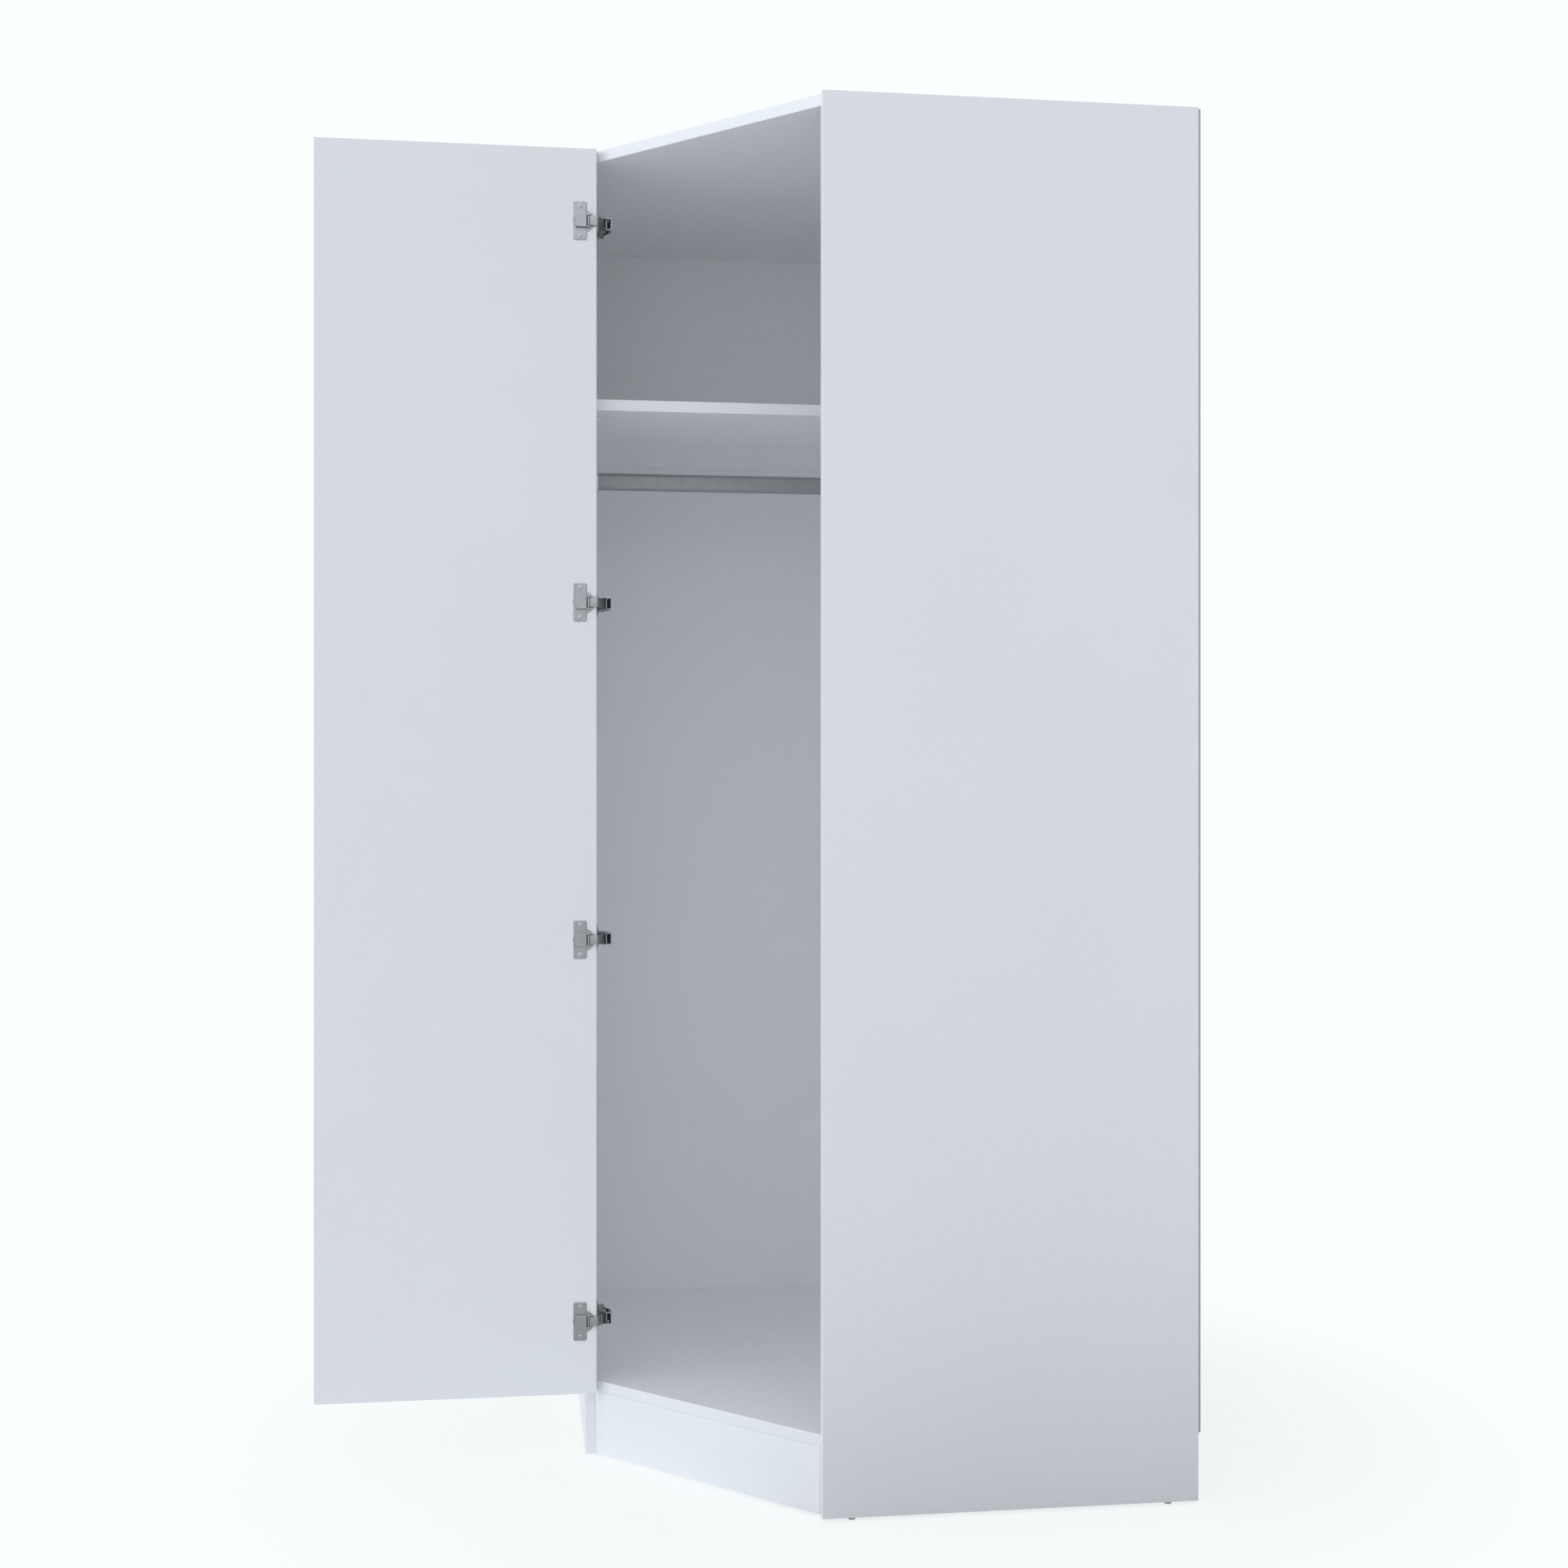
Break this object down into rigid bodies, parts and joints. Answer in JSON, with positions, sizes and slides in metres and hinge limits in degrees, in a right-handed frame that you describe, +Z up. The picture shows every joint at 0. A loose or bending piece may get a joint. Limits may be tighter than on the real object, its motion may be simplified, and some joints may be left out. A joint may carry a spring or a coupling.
{
  "type": "corner wardrobe",
  "caption": "Tall five-sided corner wardrobe with an angled door on cup hinges folded open, a hat shelf and an oval hanging rail.",
  "frame": {"origin": "the room corner on the floor, where the planes of the two back panels meet", "axes": "+Z up, +Y out of the left back panel into the wall behind it, +X out of the right back panel into the other wall"},
  "size_m": [1.3354, 0.91, 2.1],
  "materials": {
    "white_melamine": "white melamine-faced chipboard, satin",
    "white_edge_band": "white edge banding, satin",
    "white_hardboard": "white lacquered hardboard",
    "raw_wood": "bare beech and pine",
    "rail_steel": "grey satin steel tube",
    "white_plastic": "moulded white plastic",
    "black_plastic": "moulded black plastic",
    "nickel_steel": "nickel-plated pressed steel",
    "zinc_screws": "bright zinc plating"
  },
  "bodies": {
    "carcass": {"right_side_panel": "white_melamine", "left_side_panel": "white_melamine", "top_panel": "white_melamine", "bottom_panel": "white_melamine", "plinth_board": "white_melamine", "hat_shelf": "white_melamine", "inner_upright": "white_melamine", "back_panel_left": "white_hardboard", "back_panel_right": "white_hardboard", "right_edge_band": "white_edge_band", "left_edge_band": "white_edge_band", "top_edge_band": "white_edge_band", "bottom_edge_band": "white_edge_band", "shelf_edge_band": "white_edge_band", "plinth_block_left": "raw_wood", "plinth_block_right": "raw_wood", "hanging_rail": "rail_steel", "rail_flange_left": "white_plastic", "rail_flange_right": "white_plastic", "corner_leg": "black_plastic", "glides": "nickel_steel", "cam_bolts": "zinc_screws", "cam_locks": "zinc_screws", "dowels": "raw_wood", "back_nails": "zinc_screws", "shelf_pins": "nickel_steel", "rail_screws": "zinc_screws", "leg_screws": "zinc_screws", "plinth_screws": "zinc_screws", "plate_screws": "zinc_screws", "arm_screws": "zinc_screws", "hinge_arm_1": "nickel_steel", "hinge_arm_2": "nickel_steel", "hinge_arm_3": "nickel_steel", "hinge_arm_4": "nickel_steel", "mounting_plate_1": "nickel_steel", "mounting_plate_2": "nickel_steel", "mounting_plate_3": "nickel_steel", "mounting_plate_4": "nickel_steel"},
    "door": {"door_panel": "white_melamine", "door_hinge_band": "white_edge_band", "door_free_band": "white_edge_band", "door_lower_band": "white_edge_band", "door_upper_band": "white_edge_band", "hinge_cup_1": "nickel_steel", "hinge_cup_2": "nickel_steel", "hinge_cup_3": "nickel_steel", "hinge_cup_4": "nickel_steel", "cup_screws": "zinc_screws", "pivot_pins": "nickel_steel"},
    "links": {"hinge_link_1": "nickel_steel", "hinge_link_2": "nickel_steel", "hinge_link_3": "nickel_steel", "hinge_link_4": "nickel_steel", "tail_pins": "nickel_steel"}
  },
  "joints": [
    {"name": "door_swing", "type": "hinge", "parent": "carcass", "child": "door", "pos_m": [-0.8955, -0.58656, 0], "axis": [0, 0, 1], "range_deg": [0, 135]},
    {"name": "link_fold", "type": "hinge", "parent": "door", "child": "links", "pos_m": [-0.9055, -0.59775, 0], "axis": [0, 0, 1], "range_deg": [-79, 0]}
  ],
  "couplings": [
    {"joint": "link_fold", "follows": "door_swing", "ratio": -0.581}
  ]
}
